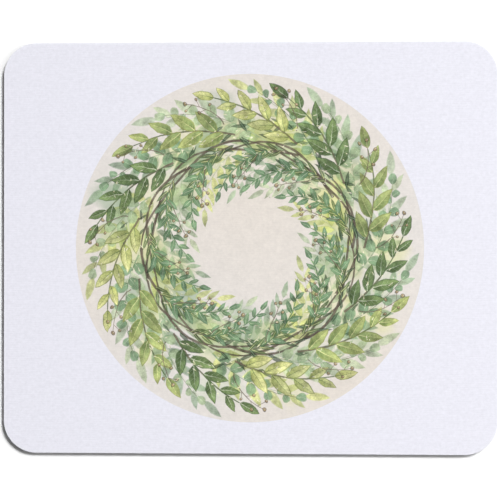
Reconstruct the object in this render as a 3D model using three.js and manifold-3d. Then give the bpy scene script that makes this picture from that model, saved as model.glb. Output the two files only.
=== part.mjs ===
// A mouse mat: black foam rubber under a thin white cloth, die-cut to a rectangle with round corners.
// A cream disc is printed in its middle, with a wreath of leafy sprigs and finer fern sprigs on it.
// Millimetres, +Z up. The origin is the middle of the underside, and +X runs along the long side.

import * as THREE from "three";
import { mergeVertices } from "three/addons/utils/BufferGeometryUtils.js";
import Module from "manifold-3d";

// Driving dimensions of the mat. Heights are in eighths of a millimetre, so that layers meet exactly
const MAT_LENGTH = 240;
const MAT_WIDTH = 200;
const MAT_THICKNESS = 3;
const CORNER_RADIUS = 16;
const SIDE_FLARE = 0.125; // how much further out the side stands at its foot than at the cloth
const EDGE_SOFTENING = 0.125;
const CORNER_STEPS = 10;

// Driving dimensions of the print, which is drawn as films so that each colour keeps its outline
const FILM_THICKNESS = 0.125;
const CLOTH_THICKNESS = 0.5;
const DISC_DIAMETER = 169;
const DISC_STEPS = 80;
const FILM_OVERLAP = 0.35; // how far a leaf's foot runs into its stem

// Driving dimensions of the wreath
const SPRIGS_ROUND = 11;
const WREATH_RADIUS = 53;
const STEM_STEPS = 6;
const LEAF_STEPS = 4;
const FERN_LEAF_STEPS = 3;

// Leaf sizes along a stem, as shares of the kind's leaf: they follow a wave that peaks before the
// middle of the stem and is lowest at its tip
const SMALLEST_LEAF = 0.55;
const SIZE_WAVE = { start: 0.18, power: 0.8 };
const TIP_LEAF_SIZE = 0.8; // the single leaf at a stem's tip

// Where the two leaves of a pair stand, counted in pairs from the foot of the stem
const OUTER_LEAF_PLACE = 0.6;
const INNER_LEAF_PLACE = 0.95;

// The curve of a leaf's edge: how far along the leaf and how far out its two handles lie
const EDGE_HANDLES = { footAlong: 0.2, footOut: 0.72, tipAlong: 0.65, tipOut: 0.6 };
const LEAF_BEND = 0.12; // how far a leaf's tip turns towards its stem's tip, as a share of its length

// Heights of the layers, from the underside up
const DISC_TOP = MAT_THICKNESS - FILM_THICKNESS;
const CLOTH_TOP = DISC_TOP - FILM_THICKNESS;
const RUBBER_TOP = CLOTH_TOP - CLOTH_THICKNESS;

// Each kind of sprig winds round the wreath from its foot, drifting outwards or inwards to its tip.
// Angles are in degrees.
const LEAFY_SPRIG = {
  startAngle: 0,
  startRadius: WREATH_RADIUS + 2.5,
  sweep: 40,
  drift: 19.5,
  driftPower: 1.2,
  stemWidth: 1.4,
  tipWidth: 0.7,
  leafPairs: 4,
  leafLength: 14.5,
  leafWidth: 6,
  leafAngle: 46,
  leafSteps: LEAF_STEPS,
};
const FERN_SPRIG = {
  startAngle: 14,
  startRadius: WREATH_RADIUS - 5,
  sweep: 40,
  drift: -17,
  driftPower: 1.1,
  stemWidth: 1.1,
  tipWidth: 0.6,
  leafPairs: 5,
  leafLength: 7.8,
  leafWidth: 3.2,
  leafAngle: 60,
  leafSteps: FERN_LEAF_STEPS,
};

// No two sprigs are quite alike: length, place and drift each follow a slow wave round the wreath
const LENGTH_WAVE = { share: 0.05, pace: 2.4 };
const PLACE_WAVE = { degrees: 1.2, pace: 1.7 };
const DRIFT_WAVE = { share: 0.06, pace: 3.1 };

const wasm = await Module();
wasm.setup();

// Materials

function matteMaterial(color, roughness) {
  return new THREE.MeshStandardMaterial({ color, roughness, metalness: 0 });
}

const foamRubber = matteMaterial(0x1b1b1d, 0.92);
const whiteCloth = matteMaterial(0xedecf5, 0.95);
const creamPrint = matteMaterial(0xe6dfd7, 0.95);
const leafGreenPrint = matteMaterial(0x8fae5c, 0.95);
const deepGreenPrint = matteMaterial(0x6f9a62, 0.95);
const yellowGreenPrint = matteMaterial(0xa9bb62, 0.95);
const blueGreenPrint = matteMaterial(0x6f9482, 0.95);

// Solids and meshes

function solidFrom(geometry) {
  const bare = geometry.clone();
  bare.deleteAttribute("normal");
  bare.deleteAttribute("uv");
  const merged = mergeVertices(bare, 1e-4);
  return new wasm.Manifold(
    new wasm.Mesh({
      numProp: 3,
      vertProperties: merged.attributes.position.array,
      triVerts: new Uint32Array(merged.index.array),
    }),
  );
}

function geometryFrom(solid) {
  const mesh = solid.getMesh();
  const geometry = new THREE.BufferGeometry();
  geometry.setAttribute("position", new THREE.BufferAttribute(mesh.vertProperties, 3));
  geometry.setIndex(new THREE.BufferAttribute(mesh.triVerts, 1));
  geometry.computeVertexNormals();
  return geometry;
}

function fuse(geometries) {
  const solids = geometries.map(solidFrom);
  return geometryFrom(solids.reduce((whole, piece) => whole.add(piece)));
}

function namedMesh(name, geometry, material) {
  const mesh = new THREE.Mesh(geometry, material);
  mesh.name = name;
  return mesh;
}

// Outlines

function roundedRectangle(length, width, radius) {
  const right = length / 2 - radius;
  const top = width / 2 - radius;
  const quarter = Math.PI / 2;
  const shape = new THREE.Shape();
  shape.moveTo(right + radius, -top);
  shape.absarc(right, top, radius, 0, quarter, false);
  shape.absarc(-right, top, radius, quarter, 2 * quarter, false);
  shape.absarc(-right, -top, radius, 2 * quarter, 3 * quarter, false);
  shape.absarc(right, -top, radius, 3 * quarter, 4 * quarter, false);
  return shape;
}

function circleShape(radius) {
  const shape = new THREE.Shape();
  shape.absarc(0, 0, radius, 0, 2 * Math.PI, false);
  return shape;
}

// A pointed leaf along +X, widest before its middle, with its tip bent to one side
function leafShape(length, width, bend) {
  const footX = EDGE_HANDLES.footAlong * length;
  const footY = EDGE_HANDLES.footOut * width;
  const tipX = EDGE_HANDLES.tipAlong * length;
  const tipY = EDGE_HANDLES.tipOut * width;
  const endY = bend * length;
  const middleY = EDGE_HANDLES.tipAlong ** 2 * endY;
  const shape = new THREE.Shape();
  shape.moveTo(-FILM_OVERLAP, 0);
  shape.bezierCurveTo(footX, -footY, tipX, middleY - tipY, length, endY);
  shape.bezierCurveTo(tipX, middleY + tipY, footX, footY, -FILM_OVERLAP, 0);
  return shape;
}

// A strip along a row of points, narrowing evenly from its foot to its tip
function taperedStrip(points, footWidth, tipWidth) {
  const left = [];
  const right = [];
  points.forEach((point, i) => {
    const before = points[Math.max(i - 1, 0)];
    const after = points[Math.min(i + 1, points.length - 1)];
    const along = after.clone().sub(before).normalize();
    const half = THREE.MathUtils.lerp(footWidth, tipWidth, i / (points.length - 1)) / 2;
    left.push(new THREE.Vector2(point.x - along.y * half, point.y + along.x * half));
    right.push(new THREE.Vector2(point.x + along.y * half, point.y - along.x * half));
  });
  return new THREE.Shape([...right, ...left.reverse()]);
}

function film(shape, curveSegments) {
  return new THREE.ExtrudeGeometry(shape, {
    depth: FILM_THICKNESS,
    bevelEnabled: false,
    curveSegments,
  });
}

function placed(geometry, point, angle) {
  return geometry.rotateZ(angle).translate(point.x, point.y, 0);
}

// The mat's layers

// The side leans out towards its foot: each height is shrunk about the middle by its share of the flare
function rubberBase() {
  const straight = RUBBER_TOP - 2 * EDGE_SOFTENING;
  const outline = roundedRectangle(
    MAT_LENGTH - 2 * EDGE_SOFTENING,
    MAT_WIDTH - 2 * EDGE_SOFTENING,
    CORNER_RADIUS - EDGE_SOFTENING,
  );
  const geometry = new THREE.ExtrudeGeometry(outline, {
    depth: straight,
    bevelThickness: EDGE_SOFTENING,
    bevelSize: EDGE_SOFTENING,
    bevelSegments: 1,
    curveSegments: CORNER_STEPS,
  });
  geometry.translate(0, 0, EDGE_SOFTENING);
  const position = geometry.attributes.position;
  for (let i = 0; i < position.count; i++) {
    const rise = Math.max(position.getZ(i) - EDGE_SOFTENING, 0) / (RUBBER_TOP - EDGE_SOFTENING);
    const inset = SIDE_FLARE * rise;
    position.setX(i, position.getX(i) * (1 - (2 * inset) / MAT_LENGTH));
    position.setY(i, position.getY(i) * (1 - (2 * inset) / MAT_WIDTH));
  }
  return namedMesh("rubber_base", geometry, foamRubber);
}

// The cloth lies flat on the rubber, flush with the side below its softened edge
function clothTop() {
  const inset = SIDE_FLARE;
  const outline = roundedRectangle(
    MAT_LENGTH - 2 * inset,
    MAT_WIDTH - 2 * inset,
    CORNER_RADIUS - inset,
  );
  const geometry = new THREE.ExtrudeGeometry(outline, {
    depth: CLOTH_THICKNESS,
    bevelEnabled: false,
    curveSegments: CORNER_STEPS,
  });
  const mesh = namedMesh("cloth_top", geometry, whiteCloth);
  mesh.position.z = RUBBER_TOP;
  return mesh;
}

function printDisc() {
  const mesh = namedMesh("print_disc", film(circleShape(DISC_DIAMETER / 2), DISC_STEPS), creamPrint);
  mesh.position.z = CLOTH_TOP;
  return mesh;
}

// The wreath

// One sprig of a kind, with the waves' values at its number
function variedSprig(kind, number) {
  const lengthFactor = 1 + LENGTH_WAVE.share * Math.sin(LENGTH_WAVE.pace * number);
  return {
    ...kind,
    startAngle:
      kind.startAngle +
      (360 * number) / SPRIGS_ROUND +
      PLACE_WAVE.degrees * Math.sin(PLACE_WAVE.pace * number),
    sweep: kind.sweep * lengthFactor,
    drift: kind.drift * (1 + DRIFT_WAVE.share * Math.sin(DRIFT_WAVE.pace * number)),
    leafLength: kind.leafLength * lengthFactor,
    leafWidth: kind.leafWidth * lengthFactor,
  };
}

// The line of a stem: it winds round the wreath while its distance from the middle drifts
function stemPoint(sprig, share) {
  const angle = THREE.MathUtils.degToRad(sprig.startAngle + sprig.sweep * share);
  const radius = sprig.startRadius + sprig.drift * share ** sprig.driftPower;
  return new THREE.Vector2(radius * Math.cos(angle), radius * Math.sin(angle));
}

function stemHeading(sprig, share) {
  const step = 0.01; // of the stem's length
  const before = stemPoint(sprig, Math.max(share - step, 0));
  return stemPoint(sprig, share + step).sub(before).angle();
}

function leafSize(share) {
  const wavePlace = SIZE_WAVE.start + (1 - SIZE_WAVE.start) * share ** SIZE_WAVE.power;
  return SMALLEST_LEAF + (1 - SMALLEST_LEAF) * Math.sin(Math.PI * wavePlace);
}

// Leaves lean out from the stem, and a little less towards its tip
function leafLean(sprig, share) {
  const closing = 0.25;
  return THREE.MathUtils.degToRad(sprig.leafAngle) * (1 - closing * share);
}

function leafFilm(sprig, size, bend) {
  const shape = leafShape(sprig.leafLength * size, sprig.leafWidth * size, bend);
  return film(shape, sprig.leafSteps);
}

function leafOnStem(sprig, share, side) {
  const angle = stemHeading(sprig, share) + side * leafLean(sprig, share);
  const leaf = leafFilm(sprig, leafSize(share), -side * LEAF_BEND);
  return placed(leaf, stemPoint(sprig, share), angle);
}

// A tapered stem with staggered pairs of leaves and one leaf at its tip
function sprigGeometry(sprig) {
  const stem = [];
  for (let i = 0; i <= STEM_STEPS; i++) {
    stem.push(stemPoint(sprig, i / STEM_STEPS));
  }
  const pieces = [film(taperedStrip(stem, sprig.stemWidth, sprig.tipWidth), 1)];
  const stemLength = sprig.leafPairs + OUTER_LEAF_PLACE;
  for (let pair = 0; pair < sprig.leafPairs; pair++) {
    pieces.push(leafOnStem(sprig, (pair + OUTER_LEAF_PLACE) / stemLength, 1));
    pieces.push(leafOnStem(sprig, (pair + INNER_LEAF_PLACE) / stemLength, -1));
  }
  pieces.push(placed(leafFilm(sprig, TIP_LEAF_SIZE, 0), stemPoint(sprig, 1), stemHeading(sprig, 1)));
  return fuse(pieces);
}

function sprigMesh(name, sprig, material) {
  const mesh = namedMesh(name, sprigGeometry(sprig), material);
  mesh.position.z = DISC_TOP;
  return mesh;
}

// Leafy sprigs fill the outside of the wreath, in three greens in turn, and fern sprigs its inside
function wreath() {
  const leafPrints = [leafGreenPrint, deepGreenPrint, yellowGreenPrint];
  const group = new THREE.Group();
  for (let i = 0; i < SPRIGS_ROUND; i++) {
    const label = String(i + 1).padStart(2, "0");
    const leafPrint = leafPrints[i % leafPrints.length];
    group.add(sprigMesh(`leafy_sprig_${label}`, variedSprig(LEAFY_SPRIG, i), leafPrint));
    group.add(sprigMesh(`fern_sprig_${label}`, variedSprig(FERN_SPRIG, i), blueGreenPrint));
  }
  return group;
}

const mat = new THREE.Group();
mat.add(rubberBase());
mat.add(clothTop());
mat.add(printDisc());
mat.add(wreath());

export default mat;
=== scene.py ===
# A mouse mat on a pale studio floor: black foam rubber under a thin white cloth, die-cut to a rectangle
# with round corners. A cream disc is printed in its middle, with a wreath of leaves on it that is
# painted in the manner of watercolour. The scene is in metres; outlines are drawn in millimetres.
import math
import random
from dataclasses import dataclass

import bpy
import numpy as np
from mathutils import Matrix, Vector
from mathutils.geometry import delaunay_2d_cdt


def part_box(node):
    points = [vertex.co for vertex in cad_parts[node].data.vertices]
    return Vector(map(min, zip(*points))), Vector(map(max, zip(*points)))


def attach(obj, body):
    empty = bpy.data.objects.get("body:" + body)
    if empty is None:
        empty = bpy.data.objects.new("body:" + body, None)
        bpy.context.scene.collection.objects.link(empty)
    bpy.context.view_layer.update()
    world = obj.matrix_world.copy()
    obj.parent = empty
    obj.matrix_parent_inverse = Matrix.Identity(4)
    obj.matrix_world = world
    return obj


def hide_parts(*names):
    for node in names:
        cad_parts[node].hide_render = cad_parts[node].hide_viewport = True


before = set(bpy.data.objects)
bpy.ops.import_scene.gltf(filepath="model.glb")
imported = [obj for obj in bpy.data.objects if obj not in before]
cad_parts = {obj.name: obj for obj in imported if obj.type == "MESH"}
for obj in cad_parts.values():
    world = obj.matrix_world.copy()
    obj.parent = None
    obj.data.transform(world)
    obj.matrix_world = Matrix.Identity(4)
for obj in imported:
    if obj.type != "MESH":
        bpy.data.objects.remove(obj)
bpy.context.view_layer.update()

MM = 0.001

# Sizes that the frame gives, in millimetres
base_low, base_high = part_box("rubber_base")
cloth_low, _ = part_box("cloth_top")
disc_low, disc_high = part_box("print_disc")
_, sprig_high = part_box("leafy_sprig_01")
MAT_LENGTH = (base_high[0] - base_low[0]) / MM
MAT_WIDTH = (base_high[1] - base_low[1]) / MM
RUBBER_TOP = base_high[2] / MM
CLOTH_TOP = sprig_high[2] / MM
CLOTH_INSET = (cloth_low[0] - base_low[0]) / MM
DISC_RADIUS = (disc_high[0] - disc_low[0]) / 2 / MM

# Sizes of the mat that the frame doesn't give, in millimetres
CORNER_RADIUS = 16
PLATE_MARGIN = 1.8  # from the cloth's edge to the flat plate that carries the print
CUT_EDGE_WIDTH = 0.5  # the pale rim along the cut edge: partly the bare threads of the cut, partly a painted highlight where the cloth turns over its edge
CLOTH_WAVER = 0.03  # how far a cut edge strays inwards
RUBBER_WAVER = 0.035
FOOT_INSET = 0.12  # the softened edge between the side and the underside
UNDERSIDE_MARGIN = 3.0
PAD_PITCH = 5.0
PAD_GROOVE = 0.9
PAD_BEVEL = 0.15
PAD_RELIEF = 0.2

# How finely things are drawn: the first two in millimetres, the others in steps along their lines
OUTLINE_STEP = 1.0
WASH_STEP = 2.5
DISC_STEPS = 360
STEM_STEPS = 12
TWIG_STEPS = 25
BUD_STALK_STEPS = 8

# The wreath, in millimetres and degrees, as in the part's source
SPRIGS_ROUND = 11
WREATH_RADIUS = 53
EDGE_HANDLES = (0.2, 0.72, 0.65, 0.6)  # along and out, twice, as shares of a leaf's length and width
LEAF_BEND = 0.12
SMALLEST_LEAF = 0.55
SIZE_WAVE_START = 0.18
SIZE_WAVE_POWER = 0.8
TIP_LEAF_SIZE = 0.8
OUTER_LEAF_PLACE = 0.6
INNER_LEAF_PLACE = 0.95
LEAFY_SPRIG = dict(
    start=0, radius=WREATH_RADIUS + 2.5, sweep=40, drift=19.5, power=1.2,
    stem=(1.4, 0.7), pairs=4, leaf=(14.5, 6.0), angle=46,
)
FERN_SPRIG = dict(
    start=14, radius=WREATH_RADIUS - 5, sweep=40, drift=-17, power=1.1,
    stem=(1.1, 0.6), pairs=5, leaf=(7.8, 3.2), angle=60,
)

# Sprigs that only the painting has, behind and between the main ones
PALE_OUTER_SPRIG = dict(
    start=-17, radius=WREATH_RADIUS - 1, sweep=44, drift=25, power=1.1,
    stem=(1.0, 0.4), pairs=5, leaf=(15.5, 5.4), angle=50,
)
PALE_INNER_SPRIG = dict(
    start=-6, radius=WREATH_RADIUS - 2, sweep=46, drift=-22, power=1.0,
    stem=(0.9, 0.4), pairs=6, leaf=(11.0, 3.6), angle=54,
)
ROUND_LEAF_SPRIG = dict(
    start=-12, radius=WREATH_RADIUS + 1, sweep=36, drift=22, power=1.0,
    stem=(0.9, 0.4), pairs=5, leaf=(6.6, 6.4), angle=62,
)
SLENDER_SPRIG = dict(
    start=4, radius=WREATH_RADIUS - 3, sweep=30, drift=-9, power=1.3,
    stem=(0.8, 0.3), pairs=6, leaf=(8.5, 1.9), angle=38,
)

# How many of each the painting has
WASHES = 90
DARK_LEAVES = 120
FLECKS = 420
DROPS = 90
TWIG_STRANDS = 3
TWIGS_ROUND = 4


# Colours


def linear(hex_colour):
    """The linear colour of a screen colour such as "8ca55f"."""
    parts = [int(hex_colour[i : i + 2], 16) / 255 for i in (0, 2, 4)]
    return np.array([c / 12.92 if c <= 0.04045 else ((c + 0.055) / 1.055) ** 2.4 for c in parts])


WHITE_CLOTH = np.array([0.745, 0.742, 0.812])
# The cloth's rim colour, paler than the cloth: partly bare cut threads, partly a painted highlight along
# the edge
BARE_THREADS_AND_HIGHLIGHT = np.array([0.755, 0.755, 0.82])
CREAM = np.array([0.708, 0.662, 0.618])
CREAM_DRIFT = np.array([0.003, -0.004, -0.016])  # towards a warmer cream
LEMON = linear("d9d79f")
SPRING = linear("b7bd7c")
OLIVE = linear("959c60")
LEAF = linear("869d66")
SAP = linear("5b7049")
DEEP = linear("3d4f3d")
SAGE = linear("abb897")
SEA = linear("8aa584")
FERN = linear("60805c")
MIST = linear("c9d0b6")
BARK = linear("786a5d")
DARK_BARK = linear("4b423d")
OCHRE = linear("ad9a70")


# Outlines, as arrays of points in millimetres


def polar(radius, angle):
    """The point at a distance from the middle and an angle in radians, or a row of such points."""
    return np.stack([radius * np.cos(angle), radius * np.sin(angle)], -1)


def mat_outline(inset):
    """The mat's outline, counter-clockwise, with the same number of points at every inset."""
    half_x, half_y = MAT_LENGTH / 2 - CORNER_RADIUS, MAT_WIDTH / 2 - CORNER_RADIUS
    arc_steps = int(math.pi / 2 * CORNER_RADIUS / OUTLINE_STEP)
    corners = ((1, 1), (-1, 1), (-1, -1), (1, -1))
    after_corner = ((-1, 0), (0, -1), (1, 0), (0, 1))  # which way the outline leaves each corner
    parts = []
    for number, (side_x, side_y) in enumerate(corners):
        angles = (number + np.arange(arc_steps + 1) / arc_steps) * math.pi / 2
        arc = (side_x * half_x, side_y * half_y) + polar(CORNER_RADIUS - inset, angles)
        straight = 2 * (half_x if number % 2 == 0 else half_y)
        steps = int(straight / OUTLINE_STEP)
        shares = np.arange(1, steps)[:, None] / steps
        parts += [arc, arc[-1] + shares * straight * np.array(after_corner[number])]
    return np.concatenate(parts)


def outward():
    """The direction out of the mat at each point of its outline."""
    return mat_outline(0) - mat_outline(1)


def circle_outline(radius, steps, centre=(0, 0)):
    return centre + polar(radius, np.arange(steps) * math.tau / steps)


def leaf_line(length, width, bend, steps, side):
    """One line of a pointed leaf along +X: side -1 and 1 give its edges and 0 gives its midrib."""
    foot_along, foot_out, tip_along, tip_out = EDGE_HANDLES
    end_y = bend * length
    middle_y = tip_along**2 * end_y
    handles = [(0, 0), (foot_along * length, side * foot_out * width)]
    handles += [(tip_along * length, middle_y + side * tip_out * width), (length, end_y)]
    a, b, c, d = np.array(handles)
    t = np.linspace(0, 1, steps + 1)[:, None]
    return (1 - t) ** 3 * a + 3 * (1 - t) ** 2 * t * b + 3 * (1 - t) * t**2 * c + t**3 * d


def between_lines(right, left):
    """The outline between two lines that start and end together."""
    return np.concatenate([right, left[-2:0:-1]])


def leaf_outline(length, width, bend, steps):
    """A pointed leaf along +X, by the same curve as the part's source."""
    right, left = (leaf_line(length, width, bend, steps, side) for side in (-1, 1))
    return between_lines(right, left)


def round_leaf_outline(length, width, steps):
    """A coin-shaped leaf along +X, a little fuller towards its tip."""
    a = np.linspace(-math.pi, math.pi, 2 * steps + 1)[:-1]
    x = length / 2 * (1 + np.cos(a))
    y = width / 2 * np.sin(a) * (0.82 + 0.18 * np.cos(a - 0.4))
    return np.stack([x, y], 1)


def strip_outline(points, foot_width, tip_width):
    """A strip along a row of points that narrows from its foot to its tip."""
    points = np.asarray(points, float)
    along = np.gradient(points, axis=0)
    along /= np.linalg.norm(along, axis=1)[:, None]
    half = np.linspace(foot_width, tip_width, len(points))[:, None] / 2
    across = np.stack([-along[:, 1], along[:, 0]], 1)
    return np.concatenate([points - across * half, (points + across * half)[::-1]])


def placed(points, spot, heading):
    c, s = math.cos(heading), math.sin(heading)
    return np.asarray(points) @ np.array([[c, s], [-s, c]]) + np.asarray(spot)


def hand_drawn(points):
    """Moves points by a gentle wave over the whole drawing, so that no edge looks ruled."""
    broad, fine = 0.13, 0.07
    x, y = points[:, 0], points[:, 1]
    dx = broad * np.sin(0.83 * x + 1.31 * y) + fine * np.sin(2.3 * y - 1.1 * x + 1.0)
    dy = broad * np.sin(1.17 * x - 0.71 * y + 2.0) + fine * np.sin(2.6 * x + 0.9 * y)
    return points + np.stack([dx, dy], 1)


# The painting: strokes of ink, each laid over those before it


@dataclass
class Stroke:
    outline: np.ndarray
    spot: np.ndarray  # where the stroke's own axes start
    heading: float
    length: float
    foot_ink: np.ndarray
    tip_ink: np.ndarray
    strength: float  # how much of the ink lies on the cloth, from 0 to 1
    cover: float  # 0 for a clear wash, 1 for solid body colour
    fade: float  # how much of the strength is gone at the tip


@dataclass
class Wash:
    """A soft pool of thin colour."""

    spot: np.ndarray
    radius: float
    turn: float
    ink: np.ndarray
    strength: float


painting = []
washes = []


def lay(outline, spot, heading, length, inks, strength, cover, fade=0.0):
    """One stroke, with an ink for its foot and one for its tip."""
    painting.append(Stroke(hand_drawn(outline), spot, heading, length, *inks, strength, cover, fade))


def lay_plain(outline, ink, strength, cover):
    """One stroke of a single ink."""
    lay(outline, outline[0], 0.0, 1.0, (ink, ink), strength, cover)


@dataclass
class LeafLook:
    """The inks of one kind of leaf, and how it is painted."""

    rim: np.ndarray
    foot: np.ndarray
    tip: np.ndarray
    shade: np.ndarray
    vein: np.ndarray
    strength: float
    cover: float
    veins: int = 0  # side veins on each half
    steps: int = 5
    has_body: bool = True  # a lighter inner part, so that the edge looks dried
    has_rib: bool = True


def paint_leaf(spot, heading, length, width, bend, look):
    """A leaf with a darker dried edge, a lighter body, one half in shade, and its veins."""
    wetness = math.sin(1.7 * spot[0] + 2.9 * spot[1])  # no two leaves took the same amount of water
    tone = 1 + 0.16 * wetness * np.array([1.0, 0.85, 0.7])

    def put(shape, inks, strength, cover, fade=0.0):
        mixed = [ink * tone for ink in inks]
        lay(placed(shape, spot, heading), spot, heading, length, mixed, strength, cover, fade)

    put(leaf_outline(length, width, bend, look.steps), (look.rim, look.rim), look.strength, look.cover)
    inner = (0.93 * length, 0.8 * width, bend, look.steps)
    foot_edge = 0.035 * length
    right, rib, left = (leaf_line(*inner, side) + (foot_edge, 0) for side in (-1, 0, 1))
    if look.has_body:
        body_cover = min(1, look.cover + 0.15)
        put(between_lines(right, left), (look.foot, look.tip), look.strength, body_cover)
    if look.veins:
        shaded = between_lines(rib, left) if bend <= 0 else between_lines(right, rib)
        put(shaded, (look.shade, look.shade), strength=0.42, cover=0.1, fade=0.5)
        for ends in side_veins(length, width, bend, look.veins):
            vein = strip_outline(ends, foot_width=0.22, tip_width=0.1)
            put(vein, (look.vein, look.vein), strength=0.4, cover=0.6)
    if look.has_rib:
        midrib = strip_outline(rib[:-1], foot_width=0.028 * length + 0.1, tip_width=0.1)
        put(midrib, (look.vein, look.vein), strength=0.75, cover=0.9, fade=0.4)


def side_veins(length, width, bend, count):
    """The two ends of each side vein of a leaf along +X."""
    first_root, last_root = 0.14, 0.66  # as shares of the leaf's length
    for root_share in np.linspace(first_root, last_root, count):
        root = np.array([root_share * length, bend * root_share**2 * length])
        reach = 0.36 * width * math.sin(math.pi * (0.22 + 0.68 * root_share))
        for side in (-1, 1):
            yield root, root + np.array([0.95 * reach, side * reach])


# Sprigs


def stem_point(sprig, share):
    radius = sprig["radius"] + sprig["drift"] * share ** sprig["power"]
    return polar(radius, math.radians(sprig["start"] + sprig["sweep"] * share))


def stem_heading(sprig, share):
    step = 0.01
    along = stem_point(sprig, share + step) - stem_point(sprig, max(share - step, 0))
    return math.atan2(along[1], along[0])


def leaf_heading(sprig, share, side):
    """Where a leaf points. Leaves lean closer to the stem towards its tip."""
    lean = side * math.radians(sprig["angle"]) * (1 - 0.25 * share)
    return stem_heading(sprig, share) + lean


def varied(kind, number):
    """One sprig of a kind, with the same slow waves round the wreath as in the part's source."""
    length_factor = 1 + 0.05 * math.sin(2.4 * number)
    sprig = dict(kind)
    sprig["start"] += 360 * number / SPRIGS_ROUND + 1.2 * math.sin(1.7 * number)
    sprig["sweep"] *= length_factor
    sprig["drift"] *= 1 + 0.06 * math.sin(3.1 * number)
    sprig["leaf"] = tuple(length_factor * size for size in kind["leaf"])
    return sprig


def leaf_size(share):
    """Leaves are largest in the middle of a sprig."""
    wave_place = min(1, SIZE_WAVE_START + (1 - SIZE_WAVE_START) * share**SIZE_WAVE_POWER)
    return SMALLEST_LEAF + (1 - SMALLEST_LEAF) * math.sin(math.pi * wave_place)


def leaf_places(sprig):
    """Each leaf of a sprig: its place along the stem, its side and its size."""
    stem_length = sprig["pairs"] + OUTER_LEAF_PLACE
    for pair in range(sprig["pairs"]):
        for place, side in ((OUTER_LEAF_PLACE, 1), (INNER_LEAF_PLACE, -1)):
            share = (pair + place) / stem_length
            yield share, side, leaf_size(share)
    yield 1.0, 0, TIP_LEAF_SIZE


def paint_stem(sprig, inks, strength, cover):
    painted_share = 0.75  # of the width that the part's source would give it
    foot_width, tip_width = (painted_share * width for width in sprig["stem"])
    points = [stem_point(sprig, i / STEM_STEPS) for i in range(STEM_STEPS + 1)]
    outline = strip_outline(points, foot_width, tip_width)
    length = np.linalg.norm(points[-1] - points[0])
    lay(outline, points[0], stem_heading(sprig, 0), length, inks, strength, cover)


def paint_sprig(sprig, look, stem_inks, stem_strength):
    """A stem with pointed leaves on both sides and one at its tip."""
    paint_stem(sprig, stem_inks, stem_strength, cover=0.8)
    for share, side, size in leaf_places(sprig):
        length, width = (full * size for full in sprig["leaf"])
        heading = leaf_heading(sprig, share, side)
        paint_leaf(stem_point(sprig, share), heading, length, width, -side * LEAF_BEND, look)


def paint_round_sprig(sprig, body, rim, vein, strength):
    """A stem with coin-shaped leaves on both sides and one at its tip."""
    paint_stem(sprig, (body, BARK), strength=0.7, cover=0.6)
    for share, side, size in leaf_places(sprig):
        length, width = (full * size for full in sprig["leaf"])
        heading = leaf_heading(sprig, share, side)
        spot = stem_point(sprig, share)
        for grow, ink, cover in ((1.0, rim, 0.5), (0.84, body, 0.75)):
            leaf = round_leaf_outline(length * grow, width * grow, steps=8)
            leaf = leaf + (0.5 * (1 - grow) * length, 0)
            lay(placed(leaf, spot, heading), spot, heading, length, (ink, body), strength, cover)
        rib = [(0, 0), (0.45 * length, 0), (0.85 * length, 0)]
        midrib = strip_outline(rib, foot_width=0.25, tip_width=0.1)
        lay_plain(placed(midrib, spot, heading), vein, strength=0.6, cover=0.8)


# The layers of the painting, from the back to the front


def near_wreath(rng, inwards, outwards):
    """A random distance from the middle, at most so far inside or outside the wreath's radius."""
    return rng.uniform(WREATH_RADIUS - inwards, WREATH_RADIUS + outwards)


def paint_washes(rng):
    """Soft pools of thin colour under the whole wreath."""
    golden_angle = 2.4
    inks = (LEMON, MIST, SPRING, SAGE, SEA, LEMON)
    for i in range(WASHES):
        wash = Wash(
            spot=polar(near_wreath(rng, 15, 19), golden_angle * i),
            radius=rng.uniform(7, 13),
            turn=rng.uniform(0, math.tau),
            ink=inks[i % len(inks)],
            strength=rng.uniform(0.3, 0.6),
        )
        washes.append(wash)


def paint_pale_sprigs():
    """Thin, clear sprigs, which look farther away."""
    sage = LeafLook(
        rim=SAGE, foot=MIST, tip=SAGE, shade=SEA, vein=MIST,
        strength=0.55, cover=0.25, has_rib=False,
    )
    lemon = LeafLook(
        rim=SPRING, foot=LEMON, tip=SPRING, shade=OLIVE, vein=LEMON,
        strength=0.6, cover=0.3, has_rib=False,
    )
    sea = LeafLook(
        rim=SEA, foot=SAGE, tip=SEA, shade=FERN, vein=MIST,
        strength=0.5, cover=0.25, has_rib=False,
    )
    for i in range(SPRIGS_ROUND):
        paint_sprig(varied(PALE_OUTER_SPRIG, i), (sage, sea, lemon)[i % 3], (SAGE, SAGE), 0.5)
        paint_sprig(varied(PALE_INNER_SPRIG, i), (lemon, sage, sea)[i % 3], (SAGE, SAGE), 0.5)


def paint_twigs():
    """Thin woody stems that wind round each other along the middle of the wreath."""
    strand_turn = 31
    sweep = math.radians(104)  # more than a quarter turn, so that the twigs of a strand overlap
    for strand in range(TWIG_STRANDS):
        for part in range(TWIGS_ROUND):
            start = math.radians(360 / TWIGS_ROUND * part + strand_turn * strand)
            angle = start + np.linspace(0, 1, TWIG_STEPS + 1) * sweep
            sway = 2.6 * np.sin(4.5 * angle + strand * math.tau / TWIG_STRANDS)
            points = polar(WREATH_RADIUS - 3 + sway, angle)
            for width, ink, strength in ((1.5, DARK_BARK, 0.7), (0.8, BARK, 0.75)):
                lay_plain(strip_outline(points, width, 0.45 * width), ink, strength, cover=0.75)


def paint_round_leaves():
    for i in range(SPRIGS_ROUND):
        body, rim = ((SEA, FERN), (SAGE, SEA))[i % 2]
        paint_round_sprig(varied(ROUND_LEAF_SPRIG, i), body, rim, vein=MIST, strength=0.75)


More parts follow.
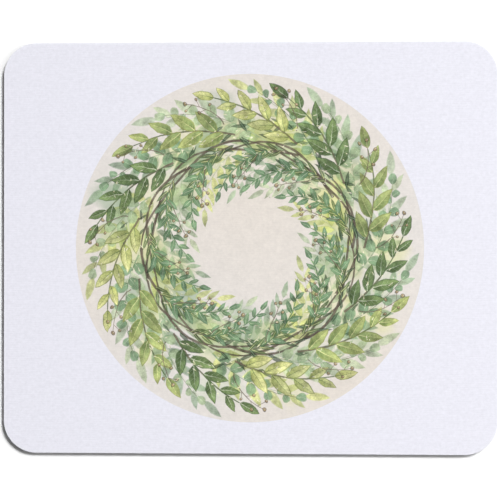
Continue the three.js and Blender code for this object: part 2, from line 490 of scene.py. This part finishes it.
def paint_dark_leaves(rng):
    """Small slender leaves deep in the wreath, which give it its shade."""
    dark = LeafLook(
        rim=DEEP, foot=DEEP, tip=SAP, shade=DEEP, vein=SEA,
        strength=0.75, cover=0.7, steps=4, has_body=False,
    )
    for _ in range(DARK_LEAVES):
        angle = rng.uniform(0, math.tau)
        spot = polar(near_wreath(rng, 10, 10), angle)
        heading = angle + math.pi / 2 + rng.uniform(-0.9, 0.9)
        length = rng.uniform(5, 9)
        paint_leaf(spot, heading, length, 0.24 * length, rng.uniform(-0.15, 0.15), dark)


def paint_slender_sprigs():
    slender = LeafLook(
        rim=SAP, foot=SAP, tip=LEAF, shade=DEEP, vein=LEMON,
        strength=0.85, cover=0.75, steps=4, has_body=False,
    )
    for i in range(SPRIGS_ROUND):
        paint_sprig(varied(SLENDER_SPRIG, i), slender, (BARK, SAP), 0.85)


def paint_main_sprigs():
    """The sprigs that the part's source has too."""
    spring = LeafLook(
        rim=OLIVE, foot=LEAF, tip=SPRING, shade=SAP, vein=LEMON,
        strength=0.92, cover=0.8, veins=4, steps=7,
    )
    green = LeafLook(
        rim=SAP, foot=SAP, tip=LEAF, shade=DEEP, vein=MIST,
        strength=0.92, cover=0.8, veins=4, steps=7,
    )
    yellow = LeafLook(
        rim=OLIVE, foot=SPRING, tip=LEMON, shade=OLIVE, vein=SAP,
        strength=0.92, cover=0.8, veins=4, steps=7,
    )
    fern = LeafLook(rim=FERN, foot=FERN, tip=SEA, shade=DEEP, vein=MIST, strength=0.9, cover=0.8)
    for i in range(SPRIGS_ROUND):
        paint_sprig(varied(FERN_SPRIG, i), fern, (FERN, FERN), 0.85)
    for i in range(SPRIGS_ROUND):
        paint_sprig(varied(LEAFY_SPRIG, i), (spring, green, yellow)[i % 3], (BARK, SAP), 0.9)


def paint_bud(spot, size):
    """A round bud: dark round its edge, ochre in the middle, with a small light on it."""
    rim = circle_outline(size, steps=10, centre=spot)
    body = circle_outline(0.74 * size, steps=9, centre=spot + size * np.array([0.12, 0.14]))
    glint = circle_outline(0.22 * size, steps=6, centre=spot + size * np.array([0.3, 0.34]))
    lay_plain(rim, DARK_BARK, strength=0.75, cover=0.7)
    lay(body, spot, heading=0.0, length=2.0, inks=(OCHRE, BARK), strength=0.85, cover=0.85)
    lay_plain(glint, CREAM, strength=0.8, cover=1.0)


def paint_bud_spray(rng, foot_radius, foot_angle, reach, turn):
    """One curved stalk across the wreath, with buds on short side stalks near its end."""
    shares = np.linspace(0, 1, BUD_STALK_STEPS + 1)
    stalk = polar(foot_radius + reach * shares, foot_angle + turn * shares**1.6)
    lay_plain(strip_outline(stalk, foot_width=0.6, tip_width=0.3), BARK, strength=0.8, cover=0.8)
    for number, station in enumerate(range(BUD_STALK_STEPS // 2, BUD_STALK_STEPS)):
        root = stalk[station]
        along = stalk[station + 1] - root
        side = 1 if number % 2 else -1
        across = side * np.array([-along[1], along[0]])
        tip = root + 0.7 * along + rng.uniform(0.75, 1.0) * across
        side_stalk = strip_outline([root, tip], foot_width=0.3, tip_width=0.25)
        lay_plain(side_stalk, BARK, strength=0.8, cover=0.8)
        paint_bud(tip, size=rng.uniform(0.75, 1.05))
    paint_bud(stalk[-1], size=1.1)


def paint_buds(rng):
    """Loose sprays of small round buds on both sides of the wreath."""
    outer_foot, inner_foot = WREATH_RADIUS + 8, WREATH_RADIUS - 7
    for i in range(SPRIGS_ROUND):
        angle = math.tau * i / SPRIGS_ROUND + rng.uniform(-0.06, 0.06)
        paint_bud_spray(rng, outer_foot, angle, reach=16.5 + rng.uniform(-1.5, 1.5), turn=0.22)
        paint_bud_spray(rng, inner_foot, angle + 0.3, reach=-14 + rng.uniform(-1.5, 1.5), turn=0.34)


def paint_flecks(rng):
    """Small pale flecks left in the foliage."""
    for _ in range(FLECKS):
        angle = rng.uniform(0, math.tau)
        spot = polar(near_wreath(rng, 17, 21), angle)
        heading = angle + math.pi / 2 + rng.uniform(-0.8, 0.8)
        length = rng.uniform(1.0, 2.8)
        fleck = placed(leaf_outline(length, width=0.5, bend=0.1, steps=3), spot, heading)
        lay(fleck, spot, heading, length, (CREAM, LEMON), strength=0.8, cover=1.0)


def paint_drops(rng):
    """Fine drops thrown around the wreath."""
    inks = (SPRING, SAGE, LEAF)
    for i in range(DROPS):
        angle = rng.uniform(0, math.tau)
        spot = polar(near_wreath(rng, 27, 27), angle)
        drop = circle_outline(rng.uniform(0.18, 0.5), steps=7, centre=spot)
        lay_plain(drop, inks[i % len(inks)], strength=0.5, cover=0.3)


def paint_wreath():
    rng = random.Random(20)
    paint_washes(rng)
    paint_pale_sprigs()
    paint_twigs()
    paint_round_leaves()
    paint_dark_leaves(rng)
    paint_slender_sprigs()
    paint_main_sprigs()
    paint_buds(rng)
    paint_flecks(rng)
    paint_drops(rng)


# From the painting to a flat mesh with a colour at every corner


def overlay(outlines, loose_points=()):
    """Cuts overlapping outlines into triangles that lie in one plane without overlapping.

    Gives the points, the triangles, the given points that each point came from, counted through all
    outlines, and the outlines that cover each triangle.
    """
    points, faces = [], []
    for outline in outlines:
        faces.append(list(range(len(points), len(points) + len(outline))))
        points.extend(Vector(p) for p in outline)
    points.extend(Vector(p) for p in loose_points)
    triangles_only, closeness, with_sources = 1, 1e-4, True
    spots, _, triangles, sources, _, covers = delaunay_2d_cdt(
        points, [], faces, triangles_only, closeness, with_sources
    )
    return np.array([tuple(spot) for spot in spots]), np.array(triangles, np.int32), sources, covers


def points_of_first(sources, count):
    """The numbers that the points of the first outline have in the overlay."""
    numbers = np.full(count, -1)
    for number, given in enumerate(sources):
        for source in given:
            if source < count:
                numbers[source] = number
    return numbers


def filled(outline):
    """Triangles that fill an outline, by the numbers of its own points."""
    _, triangles, sources, _ = overlay([outline])
    return np.array([given[0] for given in sources])[triangles]


def laid_over(colour, load, spots, stroke):
    """The colours of some corners, and how much ink they hold, after one more stroke."""
    direction = np.array([math.cos(stroke.heading), math.sin(stroke.heading)])
    along = np.clip(((spots - stroke.spot) @ direction) / stroke.length, 0, 1)[..., None]
    ink = stroke.foot_ink + (stroke.tip_ink - stroke.foot_ink) * along
    strength = stroke.strength * (1 - stroke.fade * along)
    washed = colour * (1 - strength + strength * ink / CREAM)
    covered = colour * (1 - strength) + ink * strength
    mixed = washed + (covered - washed) * stroke.cover
    held = 1 - (1 - load) * (1 - strength[..., 0])
    return mixed, held


def washed_ground(spots):
    """The colour of the cream disc at each spot, once the soft pools of colour have dried."""
    x, y = spots.T / DISC_RADIUS
    drift = np.sin(3.4 * x + 1.3 * y + 0.6) + np.sin(3.9 * y - 2.2 * x)
    colour = CREAM * (1 + drift[:, None] * CREAM_DRIFT)
    for wash in washes:
        away = spots - wash.spot
        angle = np.arctan2(away[:, 1], away[:, 0]) + wash.turn
        wobble = 0.2 * np.sin(2 * angle) + 0.12 * np.sin(3 * angle + wash.turn) + 0.05 * np.sin(7 * angle)
        reach = wash.radius * (1 + wobble)
        depth = np.clip(2 * (1 - np.linalg.norm(away, axis=1) / reach), 0, 1)
        strength = (wash.strength * depth**2 * (3 - 2 * depth))[:, None]
        colour *= 1 - strength + strength * wash.ink / CREAM
    return colour


def triangles_under(covers, shape_count):
    """For each outline, the triangles that it covers."""
    shapes = np.fromiter((shape for cover in covers for shape in cover), dtype=np.int64)
    rows = np.repeat(np.arange(len(covers)), [len(cover) for cover in covers])
    order = np.argsort(shapes, kind="stable")
    bounds = np.searchsorted(shapes[order], np.arange(shape_count + 1))
    return [rows[order[low:high]] for low, high in zip(bounds[:-1], bounds[1:])]


def inside(points, outline):
    """Which of the points lie inside an outline."""
    x, y = points[:, 0, None], points[:, 1, None]
    x0, y0 = outline.T
    x1, y1 = np.roll(outline, -1, axis=0).T
    rise = np.where(y1 == y0, 1.0, y1 - y0)
    crossed = ((y0 > y) != (y1 > y)) & (x < x0 + (x1 - x0) * (y - y0) / rise)
    return crossed.sum(1) % 2 == 1


def corner_colours(spots, triangles, covers):
    """Red, green, blue and the load of ink at each corner of each triangle of the plate.

    The overlay's first outline is the plate's own, the second is the disc, and the strokes follow.
    """
    disc, first_stroke = 1, 2
    cream_load = 0.08
    colour = np.tile(WHITE_CLOTH, (len(triangles), 3, 1))
    load = np.zeros((len(triangles), 3))
    under = triangles_under(covers, first_stroke + len(painting))
    colour[under[disc]] = washed_ground(spots)[triangles[under[disc]]]
    load[under[disc]] = cream_load
    middles = spots[triangles].mean(1)
    for stroke, rows in zip(painting, under[first_stroke:]):
        rows = rows[inside(middles[rows], stroke.outline)]
        at = spots[triangles[rows]]
        colour[rows], load[rows] = laid_over(colour[rows], load[rows], at, stroke)
    return np.concatenate([colour, load[..., None]], 2)


def disc_grid(step):
    """Evenly spaced points on the disc, for the soft pools of colour to show between the strokes."""
    count = int(DISC_RADIUS / step)
    for i in range(-count, count + 1):
        for j in range(-count, count + 1):
            x, y = (i + 0.5 * (j % 2)) * step, j * step
            if math.hypot(x, y) < DISC_RADIUS - step:
                yield x, y


# Meshes, built up ring by ring


class Shell:
    """Points in millimetres, the faces between them, and a colour for each corner of each face."""

    def __init__(self):
        self.points = []
        self.faces = []
        self.colours = []

    def add_points(self, flat_points, heights):
        """Adds points at one height, or at a height each, and gives their numbers."""
        numbers = len(self.points) + np.arange(len(flat_points))
        heights = np.broadcast_to(heights, len(flat_points))
        self.points.extend(np.column_stack([flat_points, heights]).tolist())
        return numbers

    def add_faces(self, faces, colours=(0, 0, 0, 0)):
        """Adds faces by their points' numbers, in one colour or with a colour for each corner."""
        self.faces.extend(faces.tolist())
        self.colours.append(np.broadcast_to(colours, (*faces.shape, 4)).reshape(-1, 4))

    def mesh_piece(self, name, smooth):
        """The piece of the scene that these faces make."""
        mesh = bpy.data.meshes.new(name)
        mesh.from_pydata((np.array(self.points) * MM).tolist(), [], self.faces)
        mesh.validate()
        mesh.polygons.foreach_set("use_smooth", np.full(len(mesh.polygons), smooth))
        piece = bpy.data.objects.new(name, mesh)
        bpy.context.scene.collection.objects.link(piece)
        return piece


def ring_quads(lower, upper):
    """Quads between two rings of points, seen from outside, by the points' numbers."""
    return np.stack([lower, np.roll(lower, -1), np.roll(upper, -1), upper], 1)


def edge_waver(count, size, seed):
    """How far a cut edge strays inwards at each point of a loop that comes back to where it began."""
    a = np.arange(count) * math.tau / count
    rng = random.Random(seed)
    wave = np.zeros(count)
    for pace in (7, 19, 43, 88, 139, 211):
        wave += rng.uniform(0.5, 1) * np.sin(pace * a + rng.uniform(0, math.tau))
    return np.abs(size * wave / 3)[:, None]


# The printed cloth


def cloth_rings():
    """The cloth's edge, from the plate to the underside: how far in each ring lies, and its height."""
    thickness = CLOTH_TOP - RUBBER_TOP
    return [
        (1.1, CLOTH_TOP),
        (CUT_EDGE_WIDTH, CLOTH_TOP - 0.002),
        (0.15, CLOTH_TOP - 0.004),
        (0.1, CLOTH_TOP - 0.01),
        (0.05, CLOTH_TOP - 0.04),
        (0.015, CLOTH_TOP - 0.1),
        (0.0, CLOTH_TOP - 0.2),
        (0.0, CLOTH_TOP - 0.4),
        (0.03, RUBBER_TOP + 0.12 * thickness),
        (0.12, RUBBER_TOP + 0.01),
    ]


def printed_plate(shell):
    """Adds the flat plate with the print, and gives the numbers of the points along its rim."""
    plate = mat_outline(CLOTH_INSET + PLATE_MARGIN)
    disc = circle_outline(DISC_RADIUS, DISC_STEPS)
    outlines = [plate, disc] + [stroke.outline for stroke in painting]
    spots, triangles, sources, covers = overlay(outlines, disc_grid(WASH_STEP))
    shell.add_points(spots, CLOTH_TOP)
    shell.add_faces(triangles, corner_colours(spots, triangles, covers))
    return points_of_first(sources, len(plate))


def add_cloth_uv(mesh, plate_corners):
    """A map that gives nearly the whole square to the plate, and a corner of it to the rest."""
    plate_place, plate_share = (0, 0.05), (1, 0.95)
    rest_place, rest_share = (0.01, 0.005), (0.04, 0.035)
    numbers = np.empty(len(mesh.loops), dtype=np.int32)
    mesh.loops.foreach_get("vertex_index", numbers)
    places = np.empty(3 * len(mesh.vertices), dtype=np.float32)
    mesh.vertices.foreach_get("co", places)
    around = np.array([MAT_LENGTH, MAT_WIDTH]) * 1.01 * MM
    uv = 0.5 + places.reshape(-1, 3)[numbers, :2] / around
    uv[:plate_corners] = plate_place + uv[:plate_corners] * plate_share
    uv[plate_corners:] = rest_place + uv[plate_corners:] * rest_share
    layer = mesh.uv_layers.new(name="OFBake")
    layer.data.foreach_set("uv", uv.astype(np.float32).ravel())


def printed_cloth():
    paint_wreath()
    shell = Shell()
    upper = printed_plate(shell)
    plate_corners = 3 * len(shell.faces)
    waver = outward() * edge_waver(len(upper), CLOTH_WAVER, 3)
    tint = WHITE_CLOTH
    rings = cloth_rings()
    for inset, height in rings:
        ring = mat_outline(CLOTH_INSET + inset)
        if inset < CUT_EDGE_WIDTH:
            ring = ring - waver
        lower = shell.add_points(ring, height)
        shell.add_faces(ring_quads(lower, upper), (*tint, 0))
        # the rings after the first take the paler rim colour, partly a painted highlight along the cut
        # edge
        upper, tint = lower, BARE_THREADS_AND_HIGHLIGHT
    last_inset, _ = rings[-1]
    underside = filled(mat_outline(CLOTH_INSET + last_inset))[:, ::-1]
    shell.add_faces(lower[underside], (*WHITE_CLOTH, 0))

    piece = shell.mesh_piece("printed_cloth", True)
    layer = piece.data.color_attributes.new("print", "FLOAT_COLOR", "CORNER")
    layer.data.foreach_set("color", np.concatenate(shell.colours).astype(np.float32).ravel())
    add_cloth_uv(piece.data, plate_corners)
    return piece


# The foam rubber base


def pad_centres():
    """The middles of the six-sided pads under the mat, in staggered rows."""
    row_pitch = PAD_PITCH * math.sqrt(3) / 2
    rows = int(MAT_WIDTH / 2 / row_pitch)
    columns = int(MAT_LENGTH / 2 / PAD_PITCH)
    for row in range(-rows, rows + 1):
        for column in range(-columns, columns + 1):
            x = (column + (0.5 if row % 2 else 0.0)) * PAD_PITCH
            yield x, row * row_pitch


def is_well_inside(x, y, inset):
    """Whether a point lies inside the mat's outline at an inset."""
    half_x, half_y = MAT_LENGTH / 2 - CORNER_RADIUS, MAT_WIDTH / 2 - CORNER_RADIUS
    dx, dy = max(abs(x) - half_x, 0), max(abs(y) - half_y, 0)
    return math.hypot(dx, dy) <= CORNER_RADIUS - inset


def hexagon(centre, across):
    return centre + polar(across / math.sqrt(3), (np.arange(6) + 0.5) * math.pi / 3)


def moulded_underside(shell, foot):
    """Adds pads that touch the table, with shallow grooves between them.

    Gives the numbers of the points along the foot.
    """
    groove_inset = UNDERSIDE_MARGIN + PAD_BEVEL
    pad_inset = groove_inset + 0.7 * PAD_PITCH  # leaves room for whole pads only
    pad_width = PAD_PITCH - PAD_GROOVE
    outlines = [foot, mat_outline(UNDERSIDE_MARGIN)[::4], mat_outline(groove_inset)[::4]]
    heights = [0.0, 0.0, PAD_RELIEF]
    for centre in pad_centres():
        if is_well_inside(*centre, pad_inset):
            outlines += [hexagon(centre, pad_width + 2 * PAD_BEVEL), hexagon(centre, pad_width)]
            heights += [PAD_RELIEF, 0.0]
    spots, triangles, sources, _ = overlay(outlines)
    given_heights = np.repeat(heights, [len(outline) for outline in outlines])
    shell.add_points(spots, given_heights[[given[0] for given in sources]])
    shell.add_faces(triangles[:, ::-1])
    return points_of_first(sources, len(foot))


def base_rings():
    """The die-cut side, from its foot to the cloth: how far in each ring lies, and its height."""
    return [
        (0.02, 0.08),
        (0.0, 0.25),
        (0.03, 0.6),
        (0.06, 1.0),
        (0.07, 1.4),
        (0.06, 1.8),
        (0.08, RUBBER_TOP - 0.15),
        (0.14, RUBBER_TOP - 0.02),
    ]


def foam_base():
    top, top_height = mat_outline(0.4), RUBBER_TOP - 0.01
    shell = Shell()
    lower = moulded_underside(shell, mat_outline(FOOT_INSET))
    for number, (inset, height) in enumerate(base_rings()):
        waver = outward() * edge_waver(len(lower), RUBBER_WAVER, 40 + number)
        upper = shell.add_points(mat_outline(inset) - waver, height)
        shell.add_faces(ring_quads(lower, upper))
        lower = upper
    upper = shell.add_points(top, top_height)
    shell.add_faces(ring_quads(lower, upper))
    shell.add_faces(upper[filled(top)])
    return shell.mesh_piece("foam_base", False)


# Materials


class Surface:
    """A node material in the making. Its patterns lie along the piece's own axes, in millimetres."""

    def __init__(self, name):
        self.material = bpy.data.materials.new(name)
        self.material.use_nodes = True
        self.nodes = self.material.node_tree.nodes
        self.links = self.material.node_tree.links
        self.shader = self.nodes["Principled BSDF"]

    def put(self, socket, value):
        """Sets a socket to a number or colour, or links another node's output to it."""
        if isinstance(value, bpy.types.NodeSocket):
            self.links.new(value, socket)
        else:
            socket.default_value = value

    def node(self, kind, inputs):
        node = self.nodes.new(kind)
        for name, value in inputs.items():
            self.put(node.inputs[name], value)
        return node

    def shaded(self, inputs):
        """The material, once its shader has these inputs."""
        for name, value in inputs.items():
            self.put(self.shader.inputs[name], value)
        return self.material

    def coordinates(self, scale):
        """Places on the piece in millimetres, times a scale for each axis."""
        source = self.nodes.new("ShaderNodeTexCoord")
        inputs = {"Vector": source.outputs["Object"], "Scale": [s / MM for s in scale]}
        return self.node("ShaderNodeMapping", inputs).outputs["Vector"]

    def noise(self, scale, detail=2.0, roughness=0.5):
        inputs = {"Vector": self.coordinates(scale), "Scale": 1.0}
        inputs |= {"Detail": detail, "Roughness": roughness}
        return self.node("ShaderNodeTexNoise", inputs).outputs["Fac"]

    def wave(self, direction, scale, distortion):
        inputs = {"Vector": self.coordinates(scale), "Scale": 1.0, "Distortion": distortion}
        inputs |= {"Detail": 1.0, "Detail Scale": 1.5}
        node = self.node("ShaderNodeTexWave", inputs)
        node.bands_direction = direction
        return node.outputs["Fac"]

    def cells(self, scale):
        """How far each place is from the middle of the nearest open cell."""
        inputs = {"Vector": self.coordinates(scale), "Scale": 1.0}
        return self.node("ShaderNodeTexVoronoi", inputs).outputs["Distance"]

    def maths(self, operation, *values):
        node = self.nodes.new("ShaderNodeMath")
        node.operation = operation
        for socket, value in zip(node.inputs, values):
            self.put(socket, value)
        return node.outputs["Value"]

    def total(self, start, *shares):
        """A number, plus a share of each of some patterns, given as (share, pattern)."""
        for share, pattern in shares:
            start = self.maths("MULTIPLY_ADD", pattern, share, start)
        return start

    def product(self, first, *others):
        for other in others:
            first = self.maths("MULTIPLY", first, other)
        return first

    def spread(self, pattern, low, high):
        """Takes a pattern from 0..1 to low..high."""
        return self.maths("MULTIPLY_ADD", pattern, high - low, low)

    def ramp(self, pattern, low, high):
        """A colour that goes with a pattern from one (place, colour) to another."""
        node = self.node("ShaderNodeValToRGB", {"Fac": pattern})
        for element, (place, colour) in zip(node.color_ramp.elements, (low, high)):
            element.position = place
            element.color = (*colour, 1)
        return node.outputs["Color"]

    def bump(self, height, strength, depth):
        inputs = {"Height": height, "Strength": strength, "Distance": depth * MM}
        return self.node("ShaderNodeBump", inputs).outputs["Normal"]


def cloth_material():
    """Fine matte polyester weave. The dye sinks in unevenly, more so where there is more of it."""
    surface = Surface("printed_cloth")
    dye = surface.nodes.new("ShaderNodeAttribute")
    dye.attribute_name = "print"
    weft = surface.wave("Y", (0.12, 0.36, 0.36), distortion=1.4)
    warp = surface.wave("X", (0.5, 0.1, 0.5), distortion=1.2)
    slub = surface.noise((0.25, 1.6, 1.0), detail=3.0)
    mottle = surface.noise((0.6, 0.6, 0.6), detail=4.0, roughness=0.75)
    grain = surface.noise((2.2, 2.2, 2.2))
    pooling = surface.noise((0.22, 0.22, 0.22), detail=4.0, roughness=0.6)
    threads = surface.product(
        surface.spread(weft, 0.991, 1.005),
        surface.spread(warp, 0.993, 1.005),
        surface.spread(slub, 0.95, 1.05),
        surface.spread(mottle, 0.87, 1.13),
    )
    fine_unevenness = surface.spread(grain, -0.4, 0.4)
    broad_unevenness = surface.spread(pooling, -1.1, 1.1)
    unevenness = surface.maths("ADD", fine_unevenness, broad_unevenness)
    dyed = surface.maths("MULTIPLY_ADD", unevenness, dye.outputs["Alpha"], 1.0)
    tinted = surface.nodes.new("ShaderNodeVectorMath")
    tinted.operation = "SCALE"
    surface.put(tinted.inputs[0], dye.outputs["Color"])
    surface.put(tinted.inputs["Scale"], surface.product(threads, dyed))
    relief = surface.total(0.0, (0.5, weft), (0.4, warp), (0.8, slub))
    return surface.shaded({
        "Base Color": tinted.outputs["Vector"],
        "Normal": surface.bump(relief, strength=0.35, depth=0.05),
        "Roughness": surface.spread(grain, 0.86, 0.98),
        "Specular IOR Level": 0.25,
        "Sheen Weight": 0.12,
        "Sheen Roughness": 0.5,
    })


def rubber_material():
    """Black foam rubber: matte, with small open cells and a little grey bloom."""
    surface = Surface("foam_rubber")
    black, grey = (0.007, 0.007, 0.0075), (0.04, 0.04, 0.042)
    cells = surface.cells((3.2, 3.2, 3.2))
    bloom = surface.noise((0.25, 0.25, 0.6), detail=4.0, roughness=0.6)
    fine = surface.noise((3.0, 3.0, 3.0), detail=3.0)
    speckled = surface.total(0.35, (-0.45, cells), (0.6, bloom), (0.4, fine))
    return surface.shaded({
        "Base Color": surface.ramp(speckled, (0.35, black), (0.85, grey)),
        "Normal": surface.bump(cells, strength=0.7, depth=0.12),
        "Roughness": surface.spread(bloom, 0.7, 0.92),
        "Specular IOR Level": 0.35,
    })


def floor_material():
    """A white sheet with a little light behind it."""
    surface = Surface("studio_floor")
    soft = surface.noise((0.004, 0.004, 0.004))
    return surface.shaded({
        "Base Color": surface.ramp(soft, (0, (0.93, 0.93, 0.93)), (1, (0.96, 0.96, 0.96))),
        "Roughness": 0.9,
        "Specular IOR Level": 0.1,
        "Emission Color": (1, 1, 1, 1),
        "Emission Strength": 0.03,
    })


# The studio


def add_floor():
    half, gap = 8000, 0.02  # in millimetres; the gap is between the floor and the mat
    shell = Shell()
    corners = shell.add_points([(-half, -half), (half, -half), (half, half), (-half, half)], -gap)
    shell.add_faces(corners[None])
    floor = shell.mesh_piece("studio_floor", False)
    floor.data.materials.append(floor_material())


def add_surround():
    """White studio walls under a dim ceiling, with a soft change between them."""
    wall_top, ceiling_edge = 0.1, 0.35  # as sines of the angle above the floor
    wall_strength, ceiling_strength = 1.0, 0.09
    world = bpy.data.worlds.new("studio")
    world.use_nodes = True
    nodes, links = world.node_tree.nodes, world.node_tree.links
    direction = nodes.new("ShaderNodeTexCoord")
    parts = nodes.new("ShaderNodeSeparateXYZ")
    falling = nodes.new("ShaderNodeMapRange")
    falling.inputs["From Min"].default_value = wall_top
    falling.inputs["From Max"].default_value = ceiling_edge
    falling.inputs["To Min"].default_value = wall_strength
    falling.inputs["To Max"].default_value = ceiling_strength
    links.new(direction.outputs["Generated"], parts.inputs["Vector"])
    links.new(parts.outputs["Z"], falling.inputs["Value"])
    links.new(falling.outputs["Result"], nodes["Background"].inputs["Strength"])
    nodes["Background"].inputs["Color"].default_value = (1, 1, 1, 1)
    bpy.context.scene.world = world


def add_lamp(name, kind, place, energy):
    """A lamp that shines from a place towards the middle of the mat."""
    lamp = bpy.data.lights.new(name, kind)
    lamp.energy = energy
    light = bpy.data.objects.new(name, lamp)
    light.location = place
    light.rotation_euler = Vector(place).to_track_quat("Z", "Y").to_euler()
    bpy.context.scene.collection.objects.link(light)
    return lamp


def add_lights():
    """A broad, even key light from the upper right, and a soft fill light from the right."""
    key = add_lamp("key", "SUN", place=(6.4, 6.85, 11.0), energy=3.3)
    key.angle = math.radians(16)
    fill = add_lamp("fill", "AREA", place=(0.75, 0.1, 0.7), energy=3.2)
    fill.shape = "DISK"
    fill.size = 0.6
    bpy.context.scene.view_settings.view_transform = "Standard"


def add_camera():
    """Down from close above, a little to the right of the middle."""
    frame_width = 242.55 * MM  # how much of the cloth's plane fits across the picture
    roll = math.radians(0.038)
    aim = Vector((0.37, -0.95, CLOTH_TOP)) * MM
    backward = Vector((33.1, -1.3, 800.0)) * MM
    distance = backward.length
    place = aim + backward
    backward.normalize()
    level = Vector((0, 1, 0)).cross(backward).normalized()
    right = math.cos(roll) * level + math.sin(roll) * backward.cross(level)
    turn = Matrix((right, backward.cross(right), backward)).transposed().to_4x4()
    camera_data = bpy.data.cameras.new("camera")
    camera_data.lens = camera_data.sensor_width * distance / frame_width
    camera_data.clip_end = 2 * distance
    camera = bpy.data.objects.new("camera", camera_data)
    camera.matrix_world = Matrix.Translation(place) @ turn
    bpy.context.scene.collection.objects.link(camera)
    bpy.context.scene.camera = camera


cloth = printed_cloth()
cloth.data.materials.append(cloth_material())
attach(cloth, "root")
printed_nodes = [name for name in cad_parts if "sprig" in name]
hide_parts("cloth_top", "print_disc", *printed_nodes)

base = foam_base()
base.data.materials.append(rubber_material())
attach(base, "root")
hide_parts("rubber_base")

add_floor()
add_surround()
add_lights()
add_camera()
